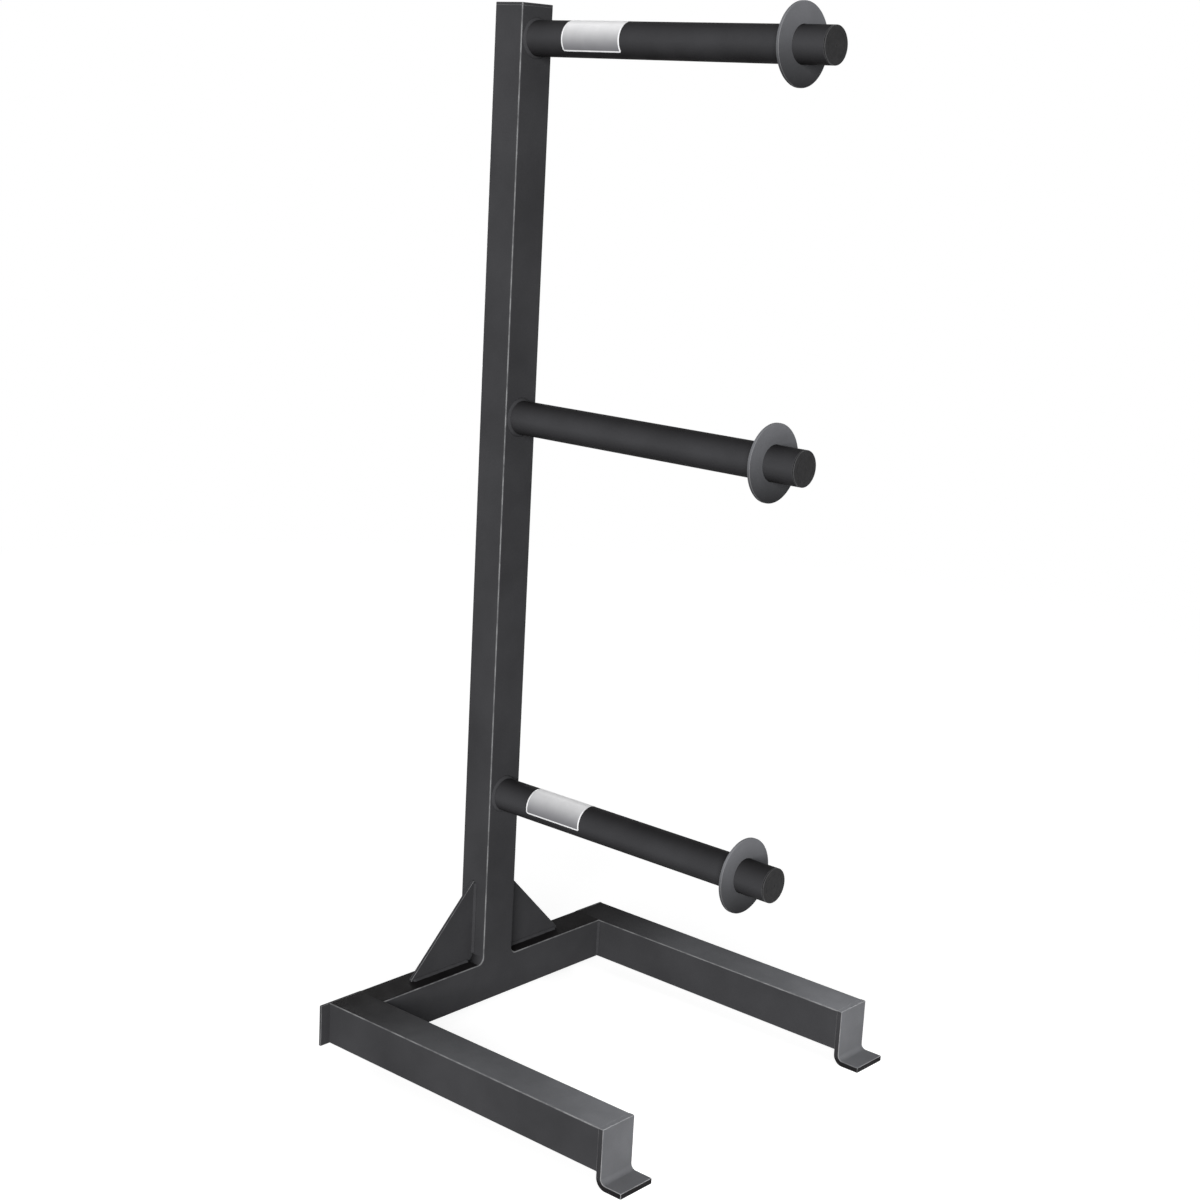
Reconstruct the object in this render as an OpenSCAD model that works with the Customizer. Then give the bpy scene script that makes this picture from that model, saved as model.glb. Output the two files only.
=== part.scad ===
/* [Rack] */
// Height from the floor to the top of the column cap
rack_h = 1830; // [1500:10:2200]
// Width across the outer sides of the two legs
base_w = 728; // [560:2:900]
// Reach of the legs, from the front of the cross tube to the front of the feet
leg_reach = 584; // [450:1:750]
// Height of the underside of the base tubes above the floor
ground_gap = 27; // [22:1:60]

/* [Square tubes] */
// Width of each leg
leg_w = 76.2; // [60:0.1:100]
// Height of the legs and of the cross tube
base_tube_h = 76.2; // [60:0.1:100]
// Depth of the cross tube and of the column, front to back
column_d = 63.5; // [50:0.1:90]
// Width of the column, side to side
column_w = 76.2; // [76:0.1:110]
// Wall of the square tubes
tube_wall = 4.8; // [3.2:0.1:8]
// Radius on the outer corners of the square tubes
tube_corner_r = 3; // [1:0.1:3.2]
// Thickness of the cap welded on the column
cap_t = 5; // [3:0.5:10]

/* [Feet and end plates] */
// Thickness of the plate that the feet are bent from
foot_plate_t = 9.5; // [6:0.1:11]
// Inner radius of the bend in each foot
foot_bend_r = 9.5; // [4:0.1:10.5]
// Reach of each foot on the floor, beyond the face of its upright leaf
foot_flange = 43; // [30:1:90]
// Height over which a rear foot laps the back of the cross tube
rear_foot_lap = 48; // [30:1:58]
// Distance of each rear foot from the inner side of its leg
rear_foot_inset = 16; // [10:1:100]
// Thickness of the plates that close the back ends of the legs
end_plate_t = 5; // [3:0.5:10]
// How far the left end plate stands out beyond its leg
end_plate_tab = 20; // [10:1:60]

/* [Gussets and welds] */
// Height of each gusset on the column
gusset_h = 156; // [80:1:250]
// Length of each gusset on the cross tube
gusset_l = 156; // [80:1:200]
// Thickness of each gusset
gusset_t = 6; // [4:0.5:12]
// Blunt end left at the two points of a gusset
gusset_nose = 4; // [2:0.5:12]
// Leg of the fillet welds at the foot of the column
column_weld_leg = 12; // [5:0.5:12]
// Radius of the hollow face of those welds
column_weld_r = 14; // [12:0.5:20]
// Leg of the smaller weld beads
bead_leg = 4.5; // [3:0.5:7]

/* [Arms] */
// Outside diameter of the arm pipe
arm_d = 60.3; // [48:0.1:61]
// Wall of the arm pipe
arm_wall = 3.9; // [2.6:0.1:6]
// Reach of each arm in front of the column, its plug included
arm_reach = 618; // [450:1:800]
// Distance of the upper arm's axis below the top of the column
upper_arm_drop = 57; // [45:1:120]
// Height of the middle arm's axis above the floor
middle_arm_z = 1126; // [800:1:1250]
// Height of the lower arm's axis above the floor
lower_arm_z = 428; // [330:1:600]
// Leg of the weld round the root of each arm
arm_weld_leg = 4.5; // [3:0.5:4.5]
// Thickness left at the pipe's root where its end is bevelled for the weld
arm_root_land = 0.9; // [0.5:0.1:2]
// Thickness of the plug's flange at the tip of an arm
plug_t = 3; // [2:0.5:6]
// Length of the plug inside the pipe
plug_stem_l = 16; // [8:1:30]

/* [Keepers] */
// Distance from the tip of the arm to the middle of each keeper plate
keeper_inset = 63; // [30:1:160]
// Diameter of each keeper plate
keeper_d = 130; // [112:1:200]
// Thickness of each keeper plate
keeper_t = 5; // [3:0.5:8]
// Outside diameter of the collar behind each keeper plate
collar_d = 76; // [70:0.5:84]
// Length of the collar
collar_l = 20; // [18:1:24]
// Clearance all round between the arm and the keeper's bore
keeper_clearance = 0.35; // [0.25:0.05:1]
// Thread diameter of the set screw
screw_d = 8; // [6:0.5:9]
// Width of the set screw's square head
screw_head_w = 10; // [8:0.5:14]
// Height of the set screw's square head
screw_head_h = 6.5; // [4:0.5:8]
// Depth of the groove in the arm under the set screw
groove_depth = 1; // [0.5:0.1:1.5]

/* [Labels] */
// Length of a label along its arm
label_l = 127; // [60:1:200]
// Distance from the column to the near edge of a label
label_at = 83; // [20:1:200]
// Arc that a label covers round its arm, in degrees
label_arc = 150; // [90:1:180]
// Angle of the upper label's lower edge above level, on the left side of its arm, in degrees
upper_label_turn = -43; // [-60:1:30]
// Angle of the lower label's lower edge above level, on the left side of its arm, in degrees
lower_label_turn = -18; // [-60:1:30]

/* [Hidden] */
$fn = 96;

// Paint, plastic and label colours
frame_colour = [0.23, 0.23, 0.24];
keeper_colour = [0.30, 0.30, 0.31];
weld_colour = [0.20, 0.20, 0.21];
plug_colour = [0.16, 0.16, 0.17];
label_colour = [0.93, 0.93, 0.94];
screw_colour = [0.55, 0.55, 0.57];

// Levels and side lines of the base, from the floor and from the middle of the column
base_top = ground_gap + base_tube_h;
leg_outer = base_w / 2;
leg_inner = leg_outer - leg_w;
leg_middle = leg_outer - leg_w / 2;
leg_front = -(leg_reach - foot_plate_t);
leg_back = column_d - end_plate_t;
gusset_back = (column_d + gusset_t) / 2;
gusset_front = (column_d - gusset_t) / 2;
rear_foot_middle = leg_inner - rear_foot_inset - leg_w / 2;
rear_foot_top = ground_gap + rear_foot_lap;

// Sizes of the arms and keepers
upper_arm_z = rack_h - upper_arm_drop;
arm_r = arm_d / 2;
arm_bore_r = arm_r - arm_wall;
pipe_l = arm_reach - plug_t;
keeper_bore_r = arm_r + keeper_clearance;
keeper_back = arm_reach - keeper_inset - keeper_t / 2;
collar_r = collar_d / 2;
collar_back = keeper_back - collar_l;
collar_chamfer = 1;
plate_chamfer = 0.8;
plug_chamfer = 0.8;
plug_gap = 0.15;
plug_stem_wall = 2.5;
screw_inset = 7.5;
screw_at = collar_back + screw_inset;
groove_lead = 1.5;
groove_trail = 1;
groove_start = collar_back - groove_lead;
groove_end = screw_at + screw_d / 2 + groove_trail;
screw_gap = 0.3;
screw_clearance = 0.05;
screw_point_r = 0.35 * screw_d;
screw_point_l = 2.5;
screw_head_lift = 3;
screw_point_at = arm_r + screw_gap;
screw_head_at = collar_r + screw_head_lift;
label_gap = 0.05;
label_t = 0.15;

// The origin is on the floor at the middle of the whole rack's outline, so the column's middle line
// lies to the right of it by half the tab, and the cross tube's front face lies behind it
front_edge = -(leg_reach + foot_flange);
back_edge = column_d + foot_plate_t + foot_flange;
side_shift = end_plate_tab / 2;
depth_shift = -(front_edge + back_edge) / 2;

// Moves what is drawn from the column's middle line and front face into the rack's own frame
module in_rack() {
    translate([side_shift, depth_shift, 0]) children();
}

// Outline of a square tube, w wide about the middle and h high, with its rounded outer corners
module tube_outline(w, h) {
    translate([-w / 2 + tube_corner_r, 0]) square([w - 2 * tube_corner_r, h]);
    translate([-w / 2, tube_corner_r]) square([w, h - 2 * tube_corner_r]);
    for (side = [-1, 1], level = [tube_corner_r, h - tube_corner_r])
        translate([side * (w / 2 - tube_corner_r), level]) circle(tube_corner_r);
}

// Section of a square tube, with sharp inner corners
module tube_section(w, h) {
    difference() {
        tube_outline(w, h);
        translate([-w / 2 + tube_wall, tube_wall]) square([w - 2 * tube_wall, h - 2 * tube_wall]);
    }
}

// Section of the flush weld that fills the rounded edge of a tube under a neighbour's flat end,
// in the corner at the origin
module edge_fill_section() {
    difference() {
        square(tube_corner_r);
        translate([tube_corner_r, tube_corner_r]) circle(tube_corner_r);
    }
}

// Section of a hollow-faced fillet weld in the corner at the origin
module hollow_fillet_section(leg, radius) {
    centre = (leg + sqrt(2 * radius * radius - leg * leg)) / 2;
    difference() {
        square(leg);
        translate([centre, centre]) circle(radius);
    }
}

// Section of a flat-faced weld bead in the corner at the origin
module bead_section(leg) {
    polygon([[0, 0], [leg, 0], [0, leg]]);
}

// A leg of the base, side = -1 on the left and 1 on the right
module leg_tube(side) {
    color(frame_colour) in_rack()
        translate([side * leg_middle, leg_back, ground_gap]) rotate([90, 0, 0])
            linear_extrude(leg_back - leg_front) tube_section(leg_w, base_tube_h);
}

module rear_cross_tube() {
    color(frame_colour) in_rack()
        translate([-leg_inner, column_d / 2, ground_gap]) rotate([90, 0, 90])
            linear_extrude(2 * leg_inner) tube_section(column_d, base_tube_h);
}

// Side view of a bent foot: the outer face of its leaf stands at 0 and its flange runs to the right
module foot_section(leaf_h) {
    bend_top = foot_plate_t + foot_bend_r;
    translate([-foot_plate_t, bend_top]) square([foot_plate_t, leaf_h - bend_top]);
    translate([foot_bend_r, 0]) square([foot_flange - foot_bend_r, foot_plate_t]);
    intersection() {
        translate([foot_bend_r, bend_top]) difference() {
            circle(foot_bend_r + foot_plate_t);
            circle(foot_bend_r);
        }
        translate([-foot_plate_t, 0]) square(bend_top);
    }
}

// A foot under the front of a leg, its leaf closing the leg's end
module front_foot(side) {
    color(frame_colour) in_rack()
        translate([side * leg_middle + leg_w / 2, -leg_reach, 0]) rotate([90, 0, -90])
            linear_extrude(leg_w) foot_section(base_top);
}

// A foot behind the cross tube, its flange pointing back
module rear_foot(side) {
    color(frame_colour) in_rack()
        translate([side * rear_foot_middle - leg_w / 2, column_d + foot_plate_t, 0]) rotate([90, 0, 90])
            linear_extrude(leg_w) foot_section(rear_foot_top);
}

// A plate that closes the back of a leg, with a tab beyond the leg's outer side
module rear_end_plate(side, tab) {
    low = side < 0 ? -leg_outer - tab : leg_inner;
    color(frame_colour) in_rack()
        translate([low, leg_back, ground_gap]) cube([leg_w + tab, end_plate_t, base_tube_h]);
}

module column_tube() {
    color(frame_colour) in_rack()
        translate([0, 0, base_top]) linear_extrude(rack_h - cap_t - base_top)
            tube_section(column_w, column_d);
}

module column_cap() {
    color(frame_colour) in_rack()
        translate([0, 0, rack_h - cap_t]) linear_extrude(cap_t) tube_outline(column_w, column_d);
}

// A gusset in the corner between the column and the cross tube
module gusset(side) {
    points = [[0, 0], [gusset_l, 0], [gusset_l, gusset_nose], [gusset_nose, gusset_h], [0, gusset_h]];
    color(frame_colour) in_rack()
        translate([side * column_w / 2, gusset_back, base_top]) mirror([side < 0 ? 1 : 0, 0, 0])
            rotate([90, 0, 0]) linear_extrude(gusset_t) polygon(points);
}

// Hollow fillets on both sides of the column, in front of and behind the gussets, and flush welds
// where the column's front and back stand on the rounded edges of the cross tube
module column_welds() {
    color(weld_colour) in_rack() {
        for (side = [-1, 1], span = [[0, gusset_front], [gusset_back, column_d]])
            translate([side * column_w / 2, span[1], base_top]) mirror([side < 0 ? 1 : 0, 0, 0])
                rotate([90, 0, 0]) linear_extrude(span[1] - span[0])
                    hollow_fillet_section(column_weld_leg, column_weld_r);
        for (back = [0, 1])
            translate([-column_w / 2, back * column_d, base_top]) mirror([0, back, 0])
                rotate([90, 0, 90]) linear_extrude(column_w) mirror([0, 1]) edge_fill_section();
    }
}

// Flush welds on top of and under both ends of the cross tube, and upright beads in the two inner
// corners of the base
module corner_welds() {
    bead_l = base_tube_h - 2 * tube_corner_r;
    color(weld_colour) in_rack() for (side = [-1, 1]) {
        for (under = [0, 1])
            translate([side * leg_inner, leg_back, ground_gap + (1 - under) * base_tube_h])
                mirror([0, 0, 1 - under]) mirror([side < 0 ? 1 : 0, 0, 0])
                    rotate([90, 0, 0]) linear_extrude(leg_back) edge_fill_section();
        translate([side * leg_inner, 0, ground_gap + tube_corner_r])
            mirror([side < 0 ? 0 : 1, 0, 0]) mirror([0, 1, 0]) linear_extrude(bead_l) bead_section(bead_leg);
    }
}

// Beads along both faces of each gusset, on the column and on the cross tube
module gusset_welds() {
    color(weld_colour) in_rack() for (side = [-1, 1], back = [0, 1])
        translate([side * column_w / 2, back == 1 ? gusset_back : gusset_front, base_top])
            mirror([side < 0 ? 1 : 0, 0, 0]) mirror([0, 1 - back, 0]) {
                translate([column_weld_leg, 0, 0]) rotate([90, 0, 90])
                    linear_extrude(gusset_l - gusset_nose - column_weld_leg) bead_section(bead_leg);
                translate([0, 0, column_weld_leg])
                    linear_extrude(gusset_h - gusset_nose - column_weld_leg) bead_section(bead_leg);
            }
}

// Beads on both sides of each rear foot, where its leaf laps the cross tube
module rear_foot_welds() {
    color(weld_colour) in_rack() for (side = [-1, 1], edge = [-1, 1])
        translate([side * rear_foot_middle + edge * leg_w / 2, column_d, ground_gap + tube_corner_r])
            mirror([edge < 0 ? 1 : 0, 0, 0])
                linear_extrude(rear_foot_lap - tube_corner_r) bead_section(bead_leg);
}

// Turns what is drawn along +Z so that it stands out to the front of the column at height z
module on_arm(z) {
    in_rack() translate([0, 0, z]) rotate([90, 0, 0]) children();
}

// An arm pipe, bevelled at its root for the weld, with the groove for the set screw's point
module arm_tube(z) {
    color(frame_colour) on_arm(z) rotate_extrude() polygon([
        [arm_bore_r, 0],
        [arm_bore_r + arm_root_land, 0],
        [arm_r, arm_weld_leg],
        [arm_r, groove_start],
        [arm_r - groove_depth, groove_start],
        [arm_r - groove_depth, groove_end],
        [arm_r, groove_end],
        [arm_r, pipe_l],
        [arm_bore_r, pipe_l]
    ]);
}

// The welds that fill the bevel at each arm's root and stand out round it on the column
module arm_welds() {
    color(weld_colour) for (z = [upper_arm_z, middle_arm_z, lower_arm_z])
        on_arm(z) rotate_extrude() polygon([
            [arm_bore_r + arm_root_land, 0],
            [arm_r + arm_weld_leg, 0],
            [arm_r, arm_weld_leg]
        ]);
}

// A plug in the tip of an arm: a flange as wide as the pipe on a hollow stem
module arm_plug(z) {
    stem_r = arm_bore_r - plug_gap;
    color(plug_colour) on_arm(z) translate([0, 0, pipe_l]) rotate_extrude() polygon([
        [0, plug_t],
        [arm_r - plug_chamfer, plug_t],
        [arm_r, plug_t - plug_chamfer],
        [arm_r, 0],
        [stem_r, 0],
        [stem_r, -plug_stem_l],
        [stem_r - plug_stem_wall, -plug_stem_l],
        [stem_r - plug_stem_wall, 0],
        [0, 0]
    ]);
}

// A blank label wrapped round an arm, its lower edge turned above level on the left side
module label(z, turn) {
    inner_r = arm_r + label_gap;
    color(label_colour) on_arm(z) translate([0, 0, label_at]) rotate([0, 0, 180 - turn - label_arc])
        rotate_extrude(angle = label_arc) translate([inner_r, 0]) square([label_t, label_l]);
}

// A round keeper plate with its bore over the arm
module keeper_plate(z) {
    rim_r = keeper_d / 2;
    color(keeper_colour) on_arm(z) translate([0, 0, keeper_back]) rotate_extrude() polygon([
        [keeper_bore_r, 0],
        [rim_r - plate_chamfer, 0],
        [rim_r, plate_chamfer],
        [rim_r, keeper_t - plate_chamfer],
        [rim_r - plate_chamfer, keeper_t],
        [keeper_bore_r, keeper_t]
    ]);
}

// The collar on the back of a keeper plate, with the set screw's hole in its top
module keeper_collar(z) {
    color(keeper_colour) on_arm(z) difference() {
        translate([0, 0, collar_back]) rotate_extrude() polygon([
            [keeper_bore_r, 0],
            [collar_r - collar_chamfer, 0],
            [collar_r, collar_chamfer],
            [collar_r, collar_l],
            [keeper_bore_r, collar_l]
        ]);
        translate([0, 0, screw_at]) rotate([-90, 0, 0])
            cylinder(h = collar_d, r = screw_d / 2 + screw_clearance);
    }
}

// The weld between a collar and its keeper plate
module keeper_weld(z) {
    color(weld_colour) on_arm(z) translate([0, 0, keeper_back]) rotate_extrude() polygon([
        [collar_r, -bead_leg],
        [collar_r + bead_leg, 0],
        [collar_r, 0]
    ]);
}

// A square-head set screw, pointing down into the top of its collar
module set_screw(z) {
    point_top = screw_point_at + screw_point_l;
    color(screw_colour) in_rack() translate([0, -screw_at, z]) {
        translate([0, 0, screw_point_at]) cylinder(h = screw_point_l, r = screw_point_r);
        translate([0, 0, point_top]) cylinder(h = screw_head_at - point_top, d = screw_d);
        translate([-screw_head_w / 2, -screw_head_w / 2, screw_head_at])
            cube([screw_head_w, screw_head_w, screw_head_h]);
    }
}

rear_cross_tube();
leg_tube(-1);  // left_leg_tube
leg_tube(1);  // right_leg_tube
front_foot(-1);  // left_front_foot
front_foot(1);  // right_front_foot
rear_foot(-1);  // left_rear_foot
rear_foot(1);  // right_rear_foot
rear_end_plate(-1, end_plate_tab);  // left_rear_end_plate
rear_end_plate(1, 0);  // right_rear_end_plate
column_tube();
column_cap();
gusset(-1);  // left_gusset
gusset(1);  // right_gusset
column_welds();
corner_welds();
gusset_welds();
rear_foot_welds();
arm_tube(upper_arm_z);  // upper_arm_tube
arm_tube(middle_arm_z);  // middle_arm_tube
arm_tube(lower_arm_z);  // lower_arm_tube
arm_welds();
arm_plug(upper_arm_z);  // upper_arm_plug
arm_plug(middle_arm_z);  // middle_arm_plug
arm_plug(lower_arm_z);  // lower_arm_plug
label(upper_arm_z, upper_label_turn);  // upper_label
label(lower_arm_z, lower_label_turn);  // lower_label
keeper_plate(upper_arm_z);  // upper_keeper_plate
keeper_plate(middle_arm_z);  // middle_keeper_plate
keeper_plate(lower_arm_z);  // lower_keeper_plate
keeper_collar(upper_arm_z);  // upper_keeper_collar
keeper_collar(middle_arm_z);  // middle_keeper_collar
keeper_collar(lower_arm_z);  // lower_keeper_collar
keeper_weld(upper_arm_z);  // upper_keeper_weld
keeper_weld(middle_arm_z);  // middle_keeper_weld
keeper_weld(lower_arm_z);  // lower_keeper_weld
set_screw(upper_arm_z);  // upper_set_screw
set_screw(middle_arm_z);  // middle_set_screw
set_screw(lower_arm_z);  // lower_set_screw
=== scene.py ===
import math

import bpy
import numpy as np
from mathutils import Matrix, Vector


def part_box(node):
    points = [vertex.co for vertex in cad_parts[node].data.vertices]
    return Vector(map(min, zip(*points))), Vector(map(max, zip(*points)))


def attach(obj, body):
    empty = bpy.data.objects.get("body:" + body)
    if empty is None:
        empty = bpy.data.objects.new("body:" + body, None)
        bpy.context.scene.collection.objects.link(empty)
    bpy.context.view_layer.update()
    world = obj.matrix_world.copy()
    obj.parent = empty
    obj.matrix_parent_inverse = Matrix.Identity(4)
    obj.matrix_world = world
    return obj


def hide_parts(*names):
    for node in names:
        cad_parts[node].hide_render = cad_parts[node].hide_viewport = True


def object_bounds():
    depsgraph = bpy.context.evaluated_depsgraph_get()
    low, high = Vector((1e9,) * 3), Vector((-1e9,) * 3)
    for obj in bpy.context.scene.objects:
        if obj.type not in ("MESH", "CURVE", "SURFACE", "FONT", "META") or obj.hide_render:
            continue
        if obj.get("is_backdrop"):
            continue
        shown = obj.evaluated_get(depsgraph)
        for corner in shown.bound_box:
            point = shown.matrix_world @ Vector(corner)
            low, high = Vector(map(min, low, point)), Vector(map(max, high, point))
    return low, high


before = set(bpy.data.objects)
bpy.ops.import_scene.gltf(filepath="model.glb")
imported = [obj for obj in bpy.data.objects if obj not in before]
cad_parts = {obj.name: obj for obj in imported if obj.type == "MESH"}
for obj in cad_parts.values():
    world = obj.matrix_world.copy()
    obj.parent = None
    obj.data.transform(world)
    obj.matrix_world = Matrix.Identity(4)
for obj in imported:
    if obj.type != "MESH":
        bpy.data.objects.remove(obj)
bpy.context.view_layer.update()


# Viewpoint: a long lens, out in front of the rack's left side and a little above its middle.
# It is turned slightly about its own line of sight, as the photograph's uprights lean, and its place
# and lens were found by fitting the rack's corners to the photograph.
view_azimuth = math.radians(-49.32)
view_elevation = math.radians(13.12)
view_roll = math.radians(3.01)
view_distance = 3.6227
view_target = Vector((0.01784, 0.0555, 0.83204))
view_lens_mm = 62.51
view_film_mm = 36

photo_camera = bpy.data.objects.new("photo_camera", bpy.data.cameras.new("photo_camera"))
bpy.context.scene.collection.objects.link(photo_camera)
bpy.context.scene.camera = photo_camera
photo_camera.data.sensor_width = view_film_mm
photo_camera.data.lens = view_lens_mm
backwards = Vector((math.sin(view_azimuth) * math.cos(view_elevation),
                    -math.cos(view_azimuth) * math.cos(view_elevation),
                    math.sin(view_elevation)))
level_right = Vector((0, 0, 1)).cross(backwards).normalized()
level_up = backwards.cross(level_right)
camera_right = level_right * math.cos(view_roll) + level_up * math.sin(view_roll)
camera_up = level_up * math.cos(view_roll) - level_right * math.sin(view_roll)
photo_camera.matrix_world = (Matrix.Translation(view_target + backwards * view_distance)
                             @ Matrix((camera_right, camera_up, backwards)).transposed().to_4x4())


# Base tubes: two long legs and the cross tube that ties them together at the back.
# They are square steel tube with small rounded outer edges, cut square, butted and welded, and the
# whole rack is powder coated satin black once it has been welded up.
tube_corner_r = 0.003
tube_wall = 0.0048
cut_edge = 0.0003
leg_parts = 24
# Painted shade: how dark the tops of the base tubes are painted at the back, how far forward along the legs
# it reaches, and the dark tone it goes over to.
top_shade = 0.95
shade_reach = 0.35
painted_shade_tone = (0.0085, 0.0078, 0.0081)
coat_specular = 0.006


def rounded_outline(corners, radii, steps=6, lead=0.4, held=0.9):
    """Rounds a closed outline whose corners run anticlockwise. At a corner V between sides with outward
    normals m and n, the arc's centre is V - r (m + n) / (1 + m.n), its points lie r from it along
    directions that swing evenly from m to n, and one more point on each side starts the flat, a lead's
    share of r further on. A hollow corner takes the same with r negative. Returns the points,
    directions, corner slants (m + n) / (1 + m.n) and held shares of the radii, and then how much of an
    edge each point is."""
    corners = np.asarray(corners, float)
    ahead = np.roll(corners, -1, axis=0) - corners
    ahead /= np.linalg.norm(ahead, axis=1, keepdims=True)
    before = np.roll(ahead, 1, axis=0)
    bend = np.arctan2(before[:, 0] * ahead[:, 1] - before[:, 1] * ahead[:, 0], (before * ahead).sum(1))
    signed_r = np.broadcast_to(radii, len(corners)) * np.sign(bend)
    m = np.stack([before[:, 1], -before[:, 0]], 1)
    n = np.stack([ahead[:, 1], -ahead[:, 0]], 1)
    share = np.concatenate([[0], np.linspace(0, 1, steps + 1), [1]])
    swing = np.abs(bend)[:, None, None]
    directions = (m[:, None] * np.sin((1 - share)[None, :, None] * swing)
                  + n[:, None] * np.sin(share[None, :, None] * swing)) / np.sin(swing)
    slants = (m + n) / (1 + (m * n).sum(1, keepdims=True))
    centres = corners - signed_r[:, None] * slants
    points = centres[:, None] + signed_r[:, None, None] * directions
    points[:, 0] -= lead * np.abs(signed_r)[:, None] * before
    points[:, -1] += lead * np.abs(signed_r)[:, None] * ahead
    edge = np.concatenate([[0], np.sin(np.linspace(0, math.pi, steps + 1)), [0]])
    edge = edge[None] * (bend > 0)[:, None]
    slants = np.repeat(slants, len(share), axis=0)
    hold = np.repeat(held * np.abs(signed_r), len(share))
    return (points.reshape(-1, 2), directions.reshape(-1, 2), slants, hold), edge.reshape(-1)


def draw_in(outline, inset):
    """The outline moved inwards by each inset d. A point goes along its own direction by d, up to the
    held share of its corner's radius, and by the rest of d along the corner's slant, so that a rounded
    corner first shrinks and is then carried in whole."""
    points, directions, slants, hold = outline
    near = np.minimum(inset[:, None, None], hold[None, :, None])
    return points[None] - near * directions[None] - (inset[:, None, None] - near) * slants[None]


def rounded_end(radius, steps=5, lead=0.5):
    """Stations that round the end of a bar: at angle f the station is r (1 - cos f) from the end and
    the section is drawn in by r (1 - sin f), with one more station on the flat at each side, a lead's
    share of r further on. Returns distances from the end, insets and edge shares."""
    f = np.linspace(0, math.pi / 2, steps + 1)
    along = np.concatenate([[0], radius * (1 - np.cos(f)), [radius + lead * radius]])
    inset = np.concatenate([[radius + lead * radius], radius * (1 - np.sin(f)), [0]])
    return along, inset, np.concatenate([[0], np.sin(2 * f), [0]])


def section_edge(outline_edge, inset, station_edge):
    """How much of an edge each point of each section is: what the outline says where the section isn't
    drawn in, or what its station says where that is more."""
    return np.maximum(outline_edge[None] * (inset == 0)[:, None], station_edge[:, None])


def loft(rings, edge, closed=False, hubs=None):
    """Skins a stack of rings, where rings[i, j] is point j of ring i, with a quad between each pair of
    neighbours. A closed stack joins its last ring to its first, and an open one fans each end ring in
    to its middle, or to the hub given for it. Faces are turned to point outwards, by the sign of the
    volume that they enclose."""
    count, size = rings.shape[:2]
    i, j = np.meshgrid(np.arange(count if closed else count - 1), np.arange(size), indexing="ij")
    i2, j2 = (i + 1) % count, (j + 1) % size
    quads = np.stack([i * size + j, i * size + j2, i2 * size + j2, i2 * size + j], -1).reshape(-1, 4)
    points = rings.reshape(-1, 3)
    edge = np.ravel(edge)
    fans = np.zeros((0, 3), int)
    if not closed:
        k = np.arange(size)
        k2 = (k + 1) % size
        last = (count - 1) * size
        fans = np.concatenate([np.stack([k2, k, np.full(size, count * size)], 1),
                               np.stack([last + k, last + k2, np.full(size, count * size + 1)], 1)])
        points = np.vstack([points, hubs or (rings[0].mean(0), rings[-1].mean(0))])
        edge = np.append(edge, [0, 0])
    triangles = np.concatenate([quads[:, :3], quads[:, [0, 2, 3]], fans])
    a, b, c = (points[triangles[:, n]] for n in range(3))
    if (a * np.cross(b, c)).sum() < 0:
        quads, fans = quads[:, ::-1], fans[:, ::-1]
    return points, quads, fans, edge


def slab(corners, along, start, end, corner_r, end_r, parts=1, wall=0):
    """A straight bar: the rounded outline, drawn on the two axes that follow the axis along, is carried
    from start to end in a number of equal parts, and drawn in at both ends. With a wall it is an open
    tube: the outline drawn in by the wall is carried back from end to start, and the skin closes."""
    outline, outline_edge = rounded_outline(corners, corner_r)
    near, near_inset, near_edge = rounded_end(end_r)
    between = np.linspace(start, end, parts + 1)[1:-1]
    station = np.concatenate([start + near, between, (end - near)[::-1]])
    inset = np.concatenate([near_inset, 0 * between, near_inset[::-1]])
    station_edge = np.concatenate([near_edge, 0 * between, near_edge[::-1]])
    if wall:
        inner_station = [end, end - end_r, start + end_r, start]
        station = np.append(station, inner_station)
        inset = np.append(inset, np.full(len(inner_station), wall))
        station_edge = np.append(station_edge, np.zeros(len(inner_station)))
    flat = draw_in(outline, inset)
    rings = np.empty((len(station), len(outline_edge), 3))
    rings[..., along] = station[:, None]
    rings[..., (along + 1) % 3] = flat[..., 0]
    rings[..., (along + 2) % 3] = flat[..., 1]
    return loft(rings, section_edge(outline_edge, inset, station_edge), closed=wall > 0)


def bar(low, high, along, corner_r, end_r, parts=1, wall=0):
    """A slab that fills the box from low to high."""
    u, v = (along + 1) % 3, (along + 2) % 3
    corners = [(low[u], low[v]), (high[u], low[v]), (high[u], high[v]), (low[u], high[v])]
    return slab(corners, along, low[along], high[along], corner_r, end_r, parts, wall)


def corners_of(node):
    """The lowest and highest corners of a node of the frame, as arrays."""
    low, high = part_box(node)
    return np.array(low), np.array(high)


def add_piece(name, shells, finish, body, slot, node, **layers):
    """Puts one or more skinned shells into a single smooth mesh at the origin, with their edge shares
    and any other values for each point as attributes, and lets it ride on a body in place of a node."""
    starts = np.cumsum([0] + [len(shell[0]) for shell in shells])
    points = np.concatenate([shell[0] for shell in shells])
    quads = np.concatenate([shell[1] + start for shell, start in zip(shells, starts)])
    fans = np.concatenate([shell[2] + start for shell, start in zip(shells, starts)])
    layers["edge"] = np.concatenate([shell[3] for shell in shells])
    mesh = bpy.data.meshes.new(name)
    mesh.from_pydata(points.tolist(), [], quads.tolist() + fans.tolist())
    for layer, values in layers.items():
        mesh.attributes.new(layer, "FLOAT", "POINT").data.foreach_set("value", values.astype(np.float32))
    mesh.shade_smooth()
    mesh.materials.append(finish)
    piece = bpy.data.objects.new(name, mesh)
    bpy.context.scene.collection.objects.link(piece)
    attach(piece, body)
    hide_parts(node)


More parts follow.
